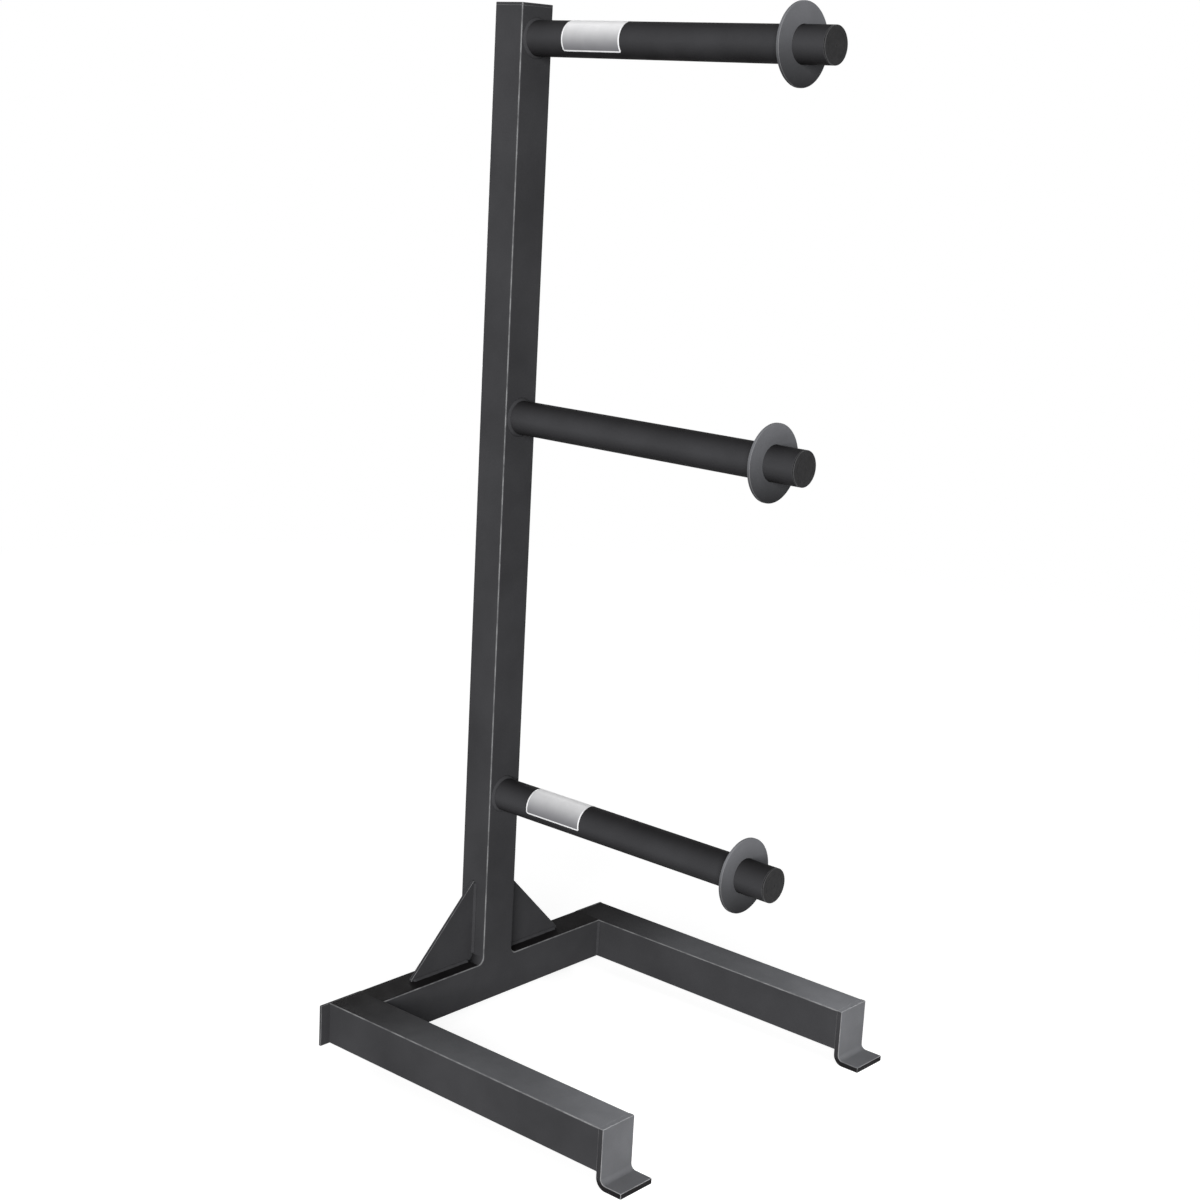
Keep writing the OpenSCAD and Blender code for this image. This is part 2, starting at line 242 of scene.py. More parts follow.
def add_node(tree, kind, sockets=(), **settings):
    """Adds a shader node with its settings, and fills its sockets with values or with other outputs."""
    made = tree.nodes.new("ShaderNode" + kind)
    for key, value in settings.items():
        setattr(made, key, value)
    for key, value in dict(sockets).items():
        if isinstance(value, bpy.types.NodeSocket):
            tree.links.new(value, made.inputs[key])
        else:
            made.inputs[key].default_value = value
    return made


def layer_value(tree, layer):
    """Reads one of the mesh's own attributes."""
    return add_node(tree, "Attribute", attribute_name=layer, attribute_type="GEOMETRY").outputs["Fac"]


def times(tree, first, second):
    """The product of two values."""
    return add_node(tree, "Math", {0: first, 1: second}, operation="MULTIPLY").outputs[0]


def spread(tree, value, low, high, to_low, to_high):
    """Maps a value's stretch from low to high onto another stretch, and holds it there outside."""
    made = add_node(tree, "MapRange", {"Value": value, "From Min": low, "From Max": high,
                                       "To Min": to_low, "To Max": to_high})
    return made.outputs["Result"]


def noise(tree, place, per_metre, detail=2.0, stretch=(1, 1, 1)):
    """A noise of so many features per metre, stretched by a share along each axis."""
    placed = add_node(tree, "Mapping", {"Vector": place, "Scale": stretch})
    made = add_node(tree, "TexNoise", {"Vector": placed.outputs["Vector"], "Scale": per_metre,
                                       "Detail": detail, "Roughness": 0.55})
    return made.outputs["Fac"]


def mottle(tree, place, per_metre, low, high, detail=2.0, stretch=(1, 1, 1), reach=(0.3, 0.7)):
    """A noise whose reach is mapped onto the stretch from low to high."""
    return spread(tree, noise(tree, place, per_metre, detail, stretch), *reach, low, high)


def mixed(tree, share, start, end, data_type="RGBA", blend_type="MIX"):
    """Goes from start to end by a share. Each is an output, a number, or a colour of three numbers."""
    start, end = ((*value, 1) if isinstance(value, tuple) else value for value in (start, end))
    made = add_node(tree, "Mix", {"Factor": share, "A": start, "B": end},
                    data_type=data_type, blend_type=blend_type)
    return made.outputs["Result"]


def relief(tree, height, strength, depth, **under):
    """A bump as deep as the depth in metres, over the one under it where that is given as Normal."""
    made = add_node(tree, "Bump", {"Height": height, "Strength": strength, "Distance": depth, **under})
    return made.outputs["Normal"]


def start_finish(name):
    """A new material, its empty tree of nodes, and the object's own coordinates in that tree."""
    finish = bpy.data.materials.new(name)
    finish.use_nodes = True
    tree = finish.node_tree
    tree.nodes.clear()
    return finish, tree, add_node(tree, "TexCoord").outputs["Object"]


def end_finish(tree, sockets):
    """Lays the surface's colour, sheen and relief into one shader, and that into the material."""
    surface = add_node(tree, "BsdfPrincipled", sockets)
    add_node(tree, "OutputMaterial", {"Surface": surface.outputs["BSDF"]})


def powder_coat(name, colour, painted_light_colour, wear_and_highlight_colour, roughness, peel, edge_wear_and_highlight):
    """Satin powder coat. Its colour drifts over a hand's width, its skin has a fine orange peel, and its
    sheen changes where hands and reels rub. Along the rounded edges it goes over to a pale tone, which is
    partly wear and partly a painted highlight. Where a piece carries a share of painted light as an
    attribute, the coat goes over to its pale tone by that share, and where it carries a share of painted
    shade, it goes over to a dark tone by that share; both are broken up by a blotchy noise."""
    finish, tree, place = start_finish(name)
    drift = mottle(tree, place, per_metre=7, low=0.86, high=1.14, detail=3)
    grain = mottle(tree, place, per_metre=1500, low=0.93, high=1.07, detail=1, reach=(0.35, 0.65))
    blotches = mottle(tree, place, per_metre=17, low=0.9, high=1.1, detail=4)
    # Painted light makes the coat paler by its share, and painted shade makes it darker by its share.
    ground = mixed(tree, times(tree, layer_value(tree, "rubbed"), blotches), colour, painted_light_colour)
    ground = mixed(tree, times(tree, layer_value(tree, "grimed"), blotches), ground, painted_shade_tone)
    coat = mixed(tree, 1.0, ground, times(tree, drift, grain), blend_type="MULTIPLY")
    # Pale edges: partly wear, and partly a painted highlight along every rounded edge.
    ridge = spread(tree, layer_value(tree, "edge"), low=0.55, high=1.0, to_low=0.0, to_high=1.0)
    patchy = mottle(tree, place, per_metre=38, low=0.35, high=1.0, detail=4, reach=(0.36, 0.62))
    wear_and_highlight = times(tree, times(tree, ridge, patchy), edge_wear_and_highlight)
    skin = mixed(tree, wear_and_highlight, coat, wear_and_highlight_colour)
    sheen = mottle(tree, place, per_metre=26, low=roughness - 0.05, high=roughness + 0.07, detail=3,
                   stretch=(1.0, 1.0, 0.35))
    sheen = mixed(tree, wear_and_highlight, sheen, roughness - 0.12, data_type="FLOAT")
    orange_peel = relief(tree, noise(tree, place, per_metre=330, detail=1), strength=peel, depth=0.0004)
    pores = relief(tree, noise(tree, place, per_metre=1900, detail=1), strength=0.5 * peel, depth=0.0001,
                   Normal=orange_peel)
    end_finish(tree, {"Base Color": skin, "Roughness": sheen, "Normal": pores,
                      "Specular IOR Level": coat_specular})
    return finish


def add_frame_piece(name, shells, node, **layers):
    """Adds a piece of the welded frame, under the frame's coat."""
    add_piece(name, shells, frame_coat, "frame", "frame_paint", node, **layers)


def on_tube_top(shell, top):
    """For each point of a tube's skin, 1 where it is on the top face, down to 0 half a corner lower."""
    return np.clip((shell[0][:, 2] - top) / (tube_corner_r / 2) + 1, 0, 1)


frame_coat = powder_coat("frame_coat", colour=(0.0495, 0.0495, 0.0525), painted_light_colour=(0.153, 0.156, 0.165),
                         wear_and_highlight_colour=(0.30, 0.30, 0.305), roughness=0.55, peel=0.35, edge_wear_and_highlight=0.85)
for side in ("left", "right"):
    low, high = corners_of(f"{side}_leg_tube")
    shell = bar(low, high, 1, tube_corner_r, cut_edge, leg_parts, tube_wall)
    # Painted light: each leg's top goes paler towards its front end, and painted shade darkens it towards its
    # back end.
    forward = (high[1] - shell[0][:, 1]) / (high[1] - low[1])
    on_top = on_tube_top(shell, high[2])
    add_frame_piece(f"{side}_leg", [shell], f"{side}_leg_tube", rubbed=forward * on_top,
                    grimed=top_shade * np.clip(1 - forward / shade_reach, 0, 1) * on_top)

cross_low, cross_high = corners_of("rear_cross_tube")
reach_in = np.array([tube_corner_r, 0, 0])
shell = bar(cross_low - reach_in, cross_high + reach_in, 0, tube_corner_r, cut_edge, wall=tube_wall)
# Painted shade: the whole top of the cross tube is darkened.
add_frame_piece("cross_tube", [shell], "rear_cross_tube",
                grimed=top_shade * on_tube_top(shell, cross_high[2]))


# Rear end plates: flat steel plates welded over the open back ends of the legs.
# The left one is wider than its leg and stands out beyond it as a tab, and both are shorter than the
# tube by a hair's breadth, so that the ground weld round them runs out flush.
plate_edge_r = 0.0012
ground_off = np.array([0, 0, 0.0001])
for side in ("left", "right"):
    low, high = corners_of(f"{side}_rear_end_plate")
    add_frame_piece(f"{side}_end_plate",
                    [bar(low + ground_off, high - ground_off, 1, plate_edge_r, plate_edge_r)],
                    f"{side}_rear_end_plate")


# Feet: thick steel plate bent once, with a tight radius.
# The upright leaf of a front foot closes the front end of its leg, flush with it on top, and the flange
# lies forward on the floor. The rear feet are shorter, lap the back of the cross tube and point back.
foot_plate_t = 0.0095
foot_bend_r = 0.0095
foot_edge_r = 0.0014
seam_edge_r = 0.0002
seam_slope = 0.02
bend_stations = 17
# Painted light on the feet: their outer faces and the tops of their leaves go paler, more on the front feet
# than the rear ones, and less on the flange than up the leaf. Painted shade darkens their inner faces and
# sides low down, near the floor.
face_light = {"front": 0.53, "rear": 0.25}
top_light = {"front": 1.0, "rear": 0.25}
flange_light = 0.65
foot_shade = 0.85


def bent_foot(low, high, forwards):
    """A plate section carried down a leaf, round a bend and out along a flange. With distance s from the
    leaf's top, bend angle a = (s - leaf) / R held between 0 and a quarter turn, the middle line is
    top + min(s, leaf) down + R (sin a down + (1 - cos a) out) + (s - leaf - R pi / 2) out. Returns it
    and, for each point, 1 where it is on the outer face, and 1 where it is on the leaf's top end. The
    ends are hardly drawn in on the inner face, so that it lies full on what it is welded to."""
    width = high[0] - low[0]
    middle_r = foot_bend_r + foot_plate_t / 2
    leaf = high[2] - low[2] - foot_plate_t / 2 - middle_r
    flange = high[1] - low[1] - foot_plate_t / 2 - middle_r
    bend = middle_r * math.pi / 2
    near, near_inset, near_edge = rounded_end(foot_edge_r)
    turns = np.linspace(0, 1, bend_stations)
    s = np.concatenate([near, leaf + bend * turns, (leaf + bend + flange - near)[::-1]])
    inset = np.concatenate([near_inset, 0 * turns, near_inset[::-1]])
    station_edge = np.concatenate([near_edge, 0 * turns, near_edge[::-1]])
    a = np.clip((s - leaf) / middle_r, 0, math.pi / 2)[:, None]
    down, out = np.array([0, 0, -1.0]), np.array([0, forwards, 0.0])
    back_y = high[1] if forwards < 0 else low[1]
    top = np.array([(low[0] + high[0]) / 2, back_y + forwards * foot_plate_t / 2, high[2]])
    middle = (top + np.minimum(s, leaf)[:, None] * down
              + middle_r * (np.sin(a) * down + (1 - np.cos(a)) * out)
              + np.maximum(s - leaf - bend, 0)[:, None] * out)
    outwards = -np.sin(a) * down + np.cos(a) * out
    half_w, half_t = width / 2, foot_plate_t / 2
    corners = [(-half_w, -half_t), (half_w, -half_t), (half_w, half_t), (-half_w, half_t)]
    (points, directions, slants, hold), outline_edge = rounded_outline(
        corners, [seam_edge_r, seam_edge_r, foot_edge_r, foot_edge_r])
    directions, slants = (np.maximum(way, [-np.inf, -seam_slope]) for way in (directions, slants))
    flat = draw_in((points, directions, slants, hold), inset)
    rings = (middle[:, None] + flat[..., :1] * np.array([1.0, 0, 0])
             + flat[..., 1:] * outwards[:, None])
    on_face = np.clip((flat[..., 1] - half_t) / foot_edge_r + 1, 0, 1)
    on_top = np.clip((rings[..., 2] - high[2]) / foot_edge_r + 1, 0, 1)
    return (loft(rings, section_edge(outline_edge, inset, station_edge)),
            np.append(on_face, [0, 0]), np.append(on_top, [1, 0]))


for side in ("left", "right"):
    for end, forwards in (("front", -1), ("rear", 1)):
        low, high = corners_of(f"{side}_{end}_foot")
        shell, on_face, on_top = bent_foot(low, high, forwards)
        # Painted light on the outer faces and leaf tops, and painted shade low on the inner faces and sides.
        up_the_leaf = np.clip((shell[0][:, 2] - foot_plate_t) / (3 * foot_bend_r), 0, 1)
        face_share = face_light[end] * (flange_light + (1 - flange_light) * up_the_leaf)
        add_frame_piece(f"{side}_{end}_bent_foot", [shell], f"{side}_{end}_foot",
                        rubbed=np.maximum(face_share * on_face, top_light[end] * on_top),
                        grimed=foot_shade * (1 - on_face) * (1 - up_the_leaf) ** 2)


# Column: one length of rectangular steel tube, stood on the cross tube flush with its front and back.
# It reaches down into the ground weld that fills the cross tube's rounded edge, and a flat cap is
# welded on its top.
cap_edge_r = 0.001
column_low, column_high = corners_of("column_tube")
foot_in = np.array([0, 0, tube_corner_r])
shell = bar(column_low - foot_in, column_high, 2, tube_corner_r, cut_edge, wall=tube_wall)
add_frame_piece("column", [shell], "column_tube")
low, high = corners_of("column_cap")
add_frame_piece("column_top_cap", [bar(low, high, 2, tube_corner_r, cap_edge_r)], "column_cap")


# Gussets: three-cornered steel plates with their points cut blunt.
# One stands on each side of the column, at the middle of its depth, on top of the cross tube.
gusset_nose = 0.004
gusset_edge_r = 0.0009
for side, outwards in (("left", -1), ("right", 1)):
    low, high = corners_of(f"{side}_gusset")
    foot_x, tip_x = (low[0], high[0]) if outwards > 0 else (high[0], low[0])
    corners = [(low[2], foot_x), (low[2], tip_x), (low[2] + gusset_nose, tip_x),
               (high[2], foot_x + outwards * gusset_nose), (high[2], foot_x)]
    if outwards > 0:
        corners.reverse()
    shell = slab(corners, 1, low[1], high[1], gusset_edge_r, gusset_edge_r)
    add_frame_piece(f"{side}_gusset_plate", [shell], f"{side}_gusset")


# Welds: hollow ground fillets on both sides of the column's foot, and plain rippled beads elsewhere.
# Beads run along both faces of each gusset, down the two inner corners of the base, down both sides of
# each rear foot and round the root of each arm. All are under the same coat.
fillet_leg = 0.012
fillet_r = 0.014
fillet_face_shares = np.concatenate([[0, 0.01], np.linspace(0.08, 0.92, 11), [0.99, 1]])
fillet_lead = 0.4
fillet_hub_share = 0.1
bead_leg = 0.0045
bead_face_shares = np.linspace(0, 1, 9)
bead_crown = 0.10
bead_slow_wander = 0.06
bead_quick_wander = 0.04
bead_end_share = 0.02
ripple_pitch = 0.0032
ripple_depth = 0.085
ripple_bow = 0.45
ripple_stations = 6
base_top = cross_high[2]
base_front, base_back = cross_low[1], cross_high[1]


def hollow_fillet(outwards, start, end):
    """A ground fillet between the column's side and the cross tube's top. Its hollow face is an arc of
    radius R about (c, c), c = (leg + root(2 R R - leg leg)) / 2, measured out and up from the corner,
    with its points closest at its two sides. At its flush end the whole section is drawn in both ways
    by r (1 - sin f) at a depth r (1 - cos f), so that it carries on the rounded edges of both tubes."""
    c = (fillet_leg + math.sqrt(2 * fillet_r ** 2 - fillet_leg ** 2)) / 2
    swing = 2 * math.atan2(fillet_leg / 2, c - fillet_leg / 2)
    a = math.atan2(fillet_leg - c, -c) + fillet_face_shares * swing
    face = c + fillet_r * np.stack([np.cos(a), np.sin(a)], 1)
    section = np.concatenate([face, [[0, 0]]])
    f = np.linspace(0, math.pi / 2, 7)
    past_edge = (1 + fillet_lead) * tube_corner_r
    depth = np.concatenate([tube_corner_r * (1 - np.cos(f)), [past_edge, abs(end - start)]])
    drawn_in = np.concatenate([tube_corner_r * (1 - np.sin(f)), [0, 0]])
    flat = section[None] - drawn_in[:, None, None]
    column_side = column_high[0] if outwards > 0 else column_low[0]
    rings = np.empty((len(depth), len(section), 3))
    rings[..., 0] = column_side + outwards * flat[..., 0]
    rings[..., 1] = (start + math.copysign(1, end - start) * depth)[:, None]
    rings[..., 2] = base_top + flat[..., 1]
    edge = np.zeros(rings.shape[:2])
    edge[:len(f), :-1] = np.sin(2 * f)[:, None]
    middle = len(face) // 2
    hubs = [ring[-1] + fillet_hub_share * (ring[middle] - ring[-1]) for ring in (rings[0], rings[-1])]
    return loft(rings, edge, hubs=hubs)


def bead(root, u, v, leg, closed=False, depth=0):
    """A fillet weld along a root line. With q from 0 to 1 across its face, the face lies k from the root
    along cos(q pi / 2) u + sin(q pi / 2) v, where k is the straight chord's distance
    leg / (cos + sin), plus a crown of sin(pi q), times one plus a slow and a quick wave that wander
    along the line, less crescent ripples that repeat each pitch. An open bead's section swells from
    almost nothing over one leg at both ends. Behind the face the section comes to a point, on the root
    or against u from it by a depth, to fill a bevel."""
    step = np.linalg.norm(np.diff(root, axis=0, append=root[:1] if closed else root[-1:]), axis=1)
    s = np.concatenate([[0], np.cumsum(step)[:-1]])
    length = step.sum()
    q = bead_face_shares
    angle = q * math.pi / 2
    turns = max(round(length / ripple_pitch), 1)
    phase = (s / length * turns)[:, None] + ripple_bow * np.sin(math.pi * q)[None]
    scallop = (2 * (phase % 1) - 1) ** 2
    once_along = 2 * math.pi * s / length
    wander = (bead_slow_wander * np.sin(3 * once_along + 0.4 * math.pi)
              + bead_quick_wander * np.sin(7 * once_along))
    k = leg * (1 / (np.cos(angle) + np.sin(angle)) + bead_crown * np.sin(math.pi * q))[None]
    k = k * (1 + wander)[:, None] - ripple_depth * leg * np.sin(math.pi * q)[None] * scallop
    if not closed:
        swell = np.clip(np.minimum(s, length - s) / leg, 0, 1)
        k = k * np.sqrt(1 - (1 - swell) ** 2 + bead_end_share)[:, None]
    u, v = (np.broadcast_to(way, root.shape)[:, None] for way in (u, v))
    face = root[:, None] + k[..., None] * (np.cos(angle)[None, :, None] * u
                                           + np.sin(angle)[None, :, None] * v)
    rings = np.concatenate([face, root[:, None] - depth * u], axis=1)
    return loft(rings, np.zeros(rings.shape[:2]), closed=closed)


def straight_bead(start, end, u, v):
    """A bead along a straight line, with the same number of stations to each ripple."""
    start, end = np.array(start, float), np.array(end, float)
    count = int(np.linalg.norm(end - start) / ripple_pitch * ripple_stations)
    return bead(start + np.linspace(0, 1, count)[:, None] * (end - start),
                np.array(u, float), np.array(v, float), bead_leg)


(_, gusset_front, _), (_, gusset_back, gusset_top) = corners_of("left_gusset")
fillets = [hollow_fillet(outwards, start, end) for outwards in (-1, 1)
           for start, end in ((base_front, gusset_front), (base_back, gusset_back))]
add_frame_piece("column_foot_fillets", fillets, "column_welds")

gusset_beads = []
for side, outwards in (("left", -1), ("right", 1)):
    low, high = corners_of(f"{side}_gusset")
    foot_x, tip_x = (low[0], high[0]) if outwards > 0 else (high[0], low[0])
    for y, away in ((gusset_front, -1), (gusset_back, 1)):
        gusset_beads.append(straight_bead((foot_x + outwards * fillet_leg, y, base_top),
                                          (tip_x - outwards * gusset_nose, y, base_top),
                                          (0, away, 0), (0, 0, 1)))
        gusset_beads.append(straight_bead((foot_x, y, base_top + fillet_leg),
                                          (foot_x, y, gusset_top - gusset_nose),
                                          (0, away, 0), (outwards, 0, 0)))
add_frame_piece("gusset_beads", gusset_beads, "gusset_welds")

corner_beads = [straight_bead((x, base_front, cross_low[2] + tube_corner_r),
                              (x, base_front, base_top - tube_corner_r), (inwards, 0, 0), (0, -1, 0))
                for x, inwards in ((cross_low[0], 1), (cross_high[0], -1))]
add_frame_piece("base_corner_beads", corner_beads, "corner_welds")

foot_beads = []
for side in ("left", "right"):
    low, high = corners_of(f"{side}_rear_foot")
    for x, outwards in ((low[0], -1), (high[0], 1)):
        foot_beads.append(straight_bead((x, base_back, cross_low[2] + tube_corner_r),
                                        (x, base_back, high[2]), (outwards, 0, 0), (0, 1, 0)))
add_frame_piece("rear_foot_beads", foot_beads, "rear_foot_welds")


# Arms: three lengths of round steel pipe that stand out level from the front of the column.
# Each is bevelled at its root and welded all round, is empty but for the plug in its tip, and has a
# shallow groove turned near the tip for the point of its keeper's set screw.
arm_wall = 0.0039
arm_root_land = 0.0009
arm_tip_edge_r = 0.0004
arm_fine_edge_r = 0.0002
arm_bevel_edge_r = 0.0005
arm_bead_stations = 360
# Painted shade: the pipes are darkened towards their tops and undersides, by these shares and powers.
arm_top_shade = 0.7
arm_top_shade_power = 2.0
arm_under_shade = 0.9
arm_under_shade_power = 1.2
groove_depth = 0.001
groove_lead = 0.0015
groove_l = 0.014
around = 96
levels = ("upper", "middle", "lower")


def turned_rings(profile, centre):
    """Circles about a line along Y through centre: a profile point (r, y) gives the circle
    (x + r sin t, y, z + r cos t) for t round a full turn."""
    t = np.linspace(0, 2 * math.pi, around, endpoint=False)
    profile = np.asarray(profile, float)
    rings = np.empty((len(profile), around, 3))
    rings[..., 0] = centre[0] + profile[:, :1] * np.sin(t)
    rings[..., 1] = profile[:, 1:]
    rings[..., 2] = centre[2] + profile[:, :1] * np.cos(t)
    return rings


def turned(corners, radii, centre):
    """A ring turned from a closed profile of (r, y) corners, anticlockwise, rounded at its corners."""
    outline, edge = rounded_outline(corners, radii)
    return loft(turned_rings(outline[0], centre), np.repeat(edge, around), closed=True)


def round_bead(centre, y, radius, toward, stations, depth=0):
    """A bead once round a circle about the same line, at y, with its face outwards and toward Y."""
    t = np.linspace(0, 2 * math.pi, stations, endpoint=False)
    outwards = np.stack([np.sin(t), 0 * t, np.cos(t)], 1)
    root = np.array([centre[0], y, centre[2]]) + radius * outwards
    return bead(root, outwards, np.array([0, toward, 0]), bead_leg, closed=True, depth=depth)


arm_coat = powder_coat("arm_coat", colour=(0.0465, 0.0465, 0.0495), painted_light_colour=(0.09, 0.09, 0.094),
                       wear_and_highlight_colour=(0.2, 0.2, 0.205), roughness=0.48, peel=0.3, edge_wear_and_highlight=0.7)
root_beads = []
for level in levels:
    low, high = corners_of(f"{level}_arm_tube")
    centre = (low + high) / 2
    arm_r = (high[2] - low[2]) / 2
    bore_r = arm_r - arm_wall
    root_y, tip_y = high[1], low[1]
    collar_low, collar_high = corners_of(f"{level}_keeper_collar")
    groove_y = collar_high[1] + groove_lead
    groove_end_y = groove_y - groove_l
    corners = [(bore_r, tip_y), (arm_r, tip_y), (arm_r, groove_end_y), (arm_r - groove_depth, groove_end_y),
               (arm_r - groove_depth, groove_y), (arm_r, groove_y), (arm_r, root_y - bead_leg),
               (bore_r + arm_root_land, root_y), (bore_r, root_y)]
    radii = 2 * [arm_tip_edge_r] + 4 * [arm_fine_edge_r] + [arm_bevel_edge_r] + 2 * [arm_fine_edge_r]
    shell = turned(corners, radii, centre)
    # Painted shade: the coat is darkened towards the top and the underside of each pipe, away from its
    # middle.
    upright = (shell[0][:, 2] - centre[2]) / arm_r
    on_top = arm_top_shade * np.abs(upright) ** arm_top_shade_power
    under = arm_under_shade * np.abs(upright) ** arm_under_shade_power
    add_piece(f"{level}_arm_pipe", [shell], arm_coat, "frame", "frame_paint", f"{level}_arm_tube",
              grimed=np.where(upright > 0, on_top, under))
    root_beads.append(round_bead(centre, root_y, arm_r, -1.0, arm_bead_stations, arm_wall - arm_root_land))
add_frame_piece("arm_root_beads", root_beads, "arm_welds")


# Plugs: moulded black plastic caps pressed into the tips of the arms.
# A flange as wide as the pipe covers its cut end, with a rounded rim, a shallow ring and the small
# dimple left by moulding, and a hollow stem holds it in the bore.
plug_t = 0.003
stem_gap = 0.00015
stem_wall = 0.0025
dimple_r = 0.0028
dimple_depth = 0.0005
ring_r = 0.021
ring_w = 0.0012
ring_depth = 0.0003
rim_r = 0.0010
hub_r = 0.0004
seat_edge = 0.0002
seat_lead = 0.0005
stem_edge = 0.0004
stem_lead = 0.0006


def moulded_plastic(name, colour, rubbed_colour):
    """Matt moulded plastic: a cloudy tone with a fine spark-eroded grain over it, and a slightly paler rim,
    which is partly wear and partly a painted highlight."""
    finish, tree, place = start_finish(name)
    cloud = mottle(tree, place, per_metre=60, low=0.85, high=1.15, detail=3)
    base = mixed(tree, 1.0, colour, cloud, blend_type="MULTIPLY")
    # The paler rim is partly wear and partly a painted highlight.
    rubbed = spread(tree, layer_value(tree, "edge"), low=0.3, high=1.0, to_low=0.0, to_high=0.42)
    skin = mixed(tree, rubbed, base, rubbed_colour)
    sheen = mottle(tree, place, per_metre=140, low=0.44, high=0.58)
    grain = relief(tree, noise(tree, place, per_metre=2600, detail=1), strength=0.35, depth=0.0001)
    end_finish(tree, {"Base Color": skin, "Roughness": sheen, "Normal": grain, "Specular IOR Level": 0.12})
    return finish


plug_plastic = moulded_plastic("plug_plastic", (0.0185, 0.0182, 0.0190), (0.15, 0.15, 0.155))
for level in levels:
    low, high = corners_of(f"{level}_arm_plug")
    centre = (low + high) / 2
    flange_r = (high[2] - low[2]) / 2
    face_y, seat_y, stem_y = low[1], low[1] + plug_t, high[1]
    stem_r = flange_r - arm_wall - stem_gap
    f = np.linspace(0, math.pi / 2, 7)
    face = [(hub_r, face_y + dimple_depth), (dimple_r * 0.6, face_y + dimple_depth),
            (dimple_r * 0.85, face_y + dimple_depth * 0.6), (dimple_r, face_y), (dimple_r * 1.15, face_y),
            (ring_r - ring_w / 2 - ring_depth, face_y), (ring_r - ring_w / 2, face_y),
            (ring_r - ring_w / 4, face_y + ring_depth), (ring_r + ring_w / 4, face_y + ring_depth),
            (ring_r + ring_w / 2, face_y), (ring_r + ring_w / 2 + ring_depth, face_y),
            (flange_r - rim_r * 1.4, face_y)]
    rim = np.stack([flange_r - rim_r * (1 - np.sin(f)), face_y + rim_r * (1 - np.cos(f))], 1).tolist()
    back = [(flange_r, face_y + rim_r * 1.3), (flange_r, seat_y - seat_lead), (flange_r, seat_y - seat_edge),
            (flange_r - seat_edge, seat_y), (flange_r - seat_lead, seat_y), (stem_r + stem_edge, seat_y),
            (stem_r, seat_y + stem_edge), (stem_r, stem_y - stem_lead), (stem_r - stem_edge, stem_y),
            (stem_r - stem_wall, stem_y), (stem_r - stem_wall, seat_y), (hub_r, seat_y)]
    edge = np.concatenate([np.zeros(len(face)), np.sin(2 * f), np.zeros(len(back))])
    add_piece(f"{level}_plug", [loft(turned_rings(face + rim + back, centre), np.repeat(edge, around))],
              plug_plastic, "frame", "plug_plastic", f"{level}_arm_plug")


# Labels: blank white vinyl wrapped over the left side of the upper and the lower arm.
# Each has small rounded corners, a white margin and a pale grey panel inside it, darkened towards its lower
# edge by painted shade, with nothing on it.
label_arc = math.radians(150)
label_turns = {"upper": math.radians(-43), "lower": math.radians(-18)}
label_corner_r = 0.004
label_border_share = 0.05
label_margin = 0.0028
label_margin_blur = 0.0002
label_t = 0.00015
# Painted shade on the panel: the share of the way round at which it has faded up to white, and the power of
# that fade.
label_unshaded_share = 0.62
label_shade_power = 1.8


def vinyl(name, margin_colour, panel_shaded, panel_lit):
    """Smooth vinyl: white inside the margin's width of the edge, and within it a panel with painted shade,
    which fades from grey at its lower edge to white by a power of its share of the way round. It is a little
    mottled, with a faint ripple where it was smoothed down."""
    finish, tree, place = start_finish(name)
    panel = spread(tree, layer_value(tree, "margin"), label_margin - label_margin_blur,
                   label_margin + label_margin_blur, to_low=0.0, to_high=1.0)
    # Painted shade: the panel goes from grey at its lower edge to white.
    fade = spread(tree, layer_value(tree, "round_it"), low=0.0, high=label_unshaded_share,
                  to_low=0.0, to_high=1.0)
    fade = add_node(tree, "Math", {0: fade, 1: label_shade_power}, operation="POWER").outputs[0]
    tone = mixed(tree, panel, margin_colour, mixed(tree, fade, panel_shaded, panel_lit))
    cloud = mottle(tree, place, per_metre=45, low=0.96, high=1.03, detail=4)
    skin = mixed(tree, 1.0, tone, cloud, blend_type="MULTIPLY")
    sheen = mottle(tree, place, per_metre=70, low=0.3, high=0.42)
    ripple = relief(tree, noise(tree, place, per_metre=90, stretch=(1, 0.5, 1)), strength=0.15, depth=0.0004)
    end_finish(tree, {"Base Color": skin, "Roughness": sheen, "Normal": ripple, "Specular IOR Level": 0.3})
    return finish


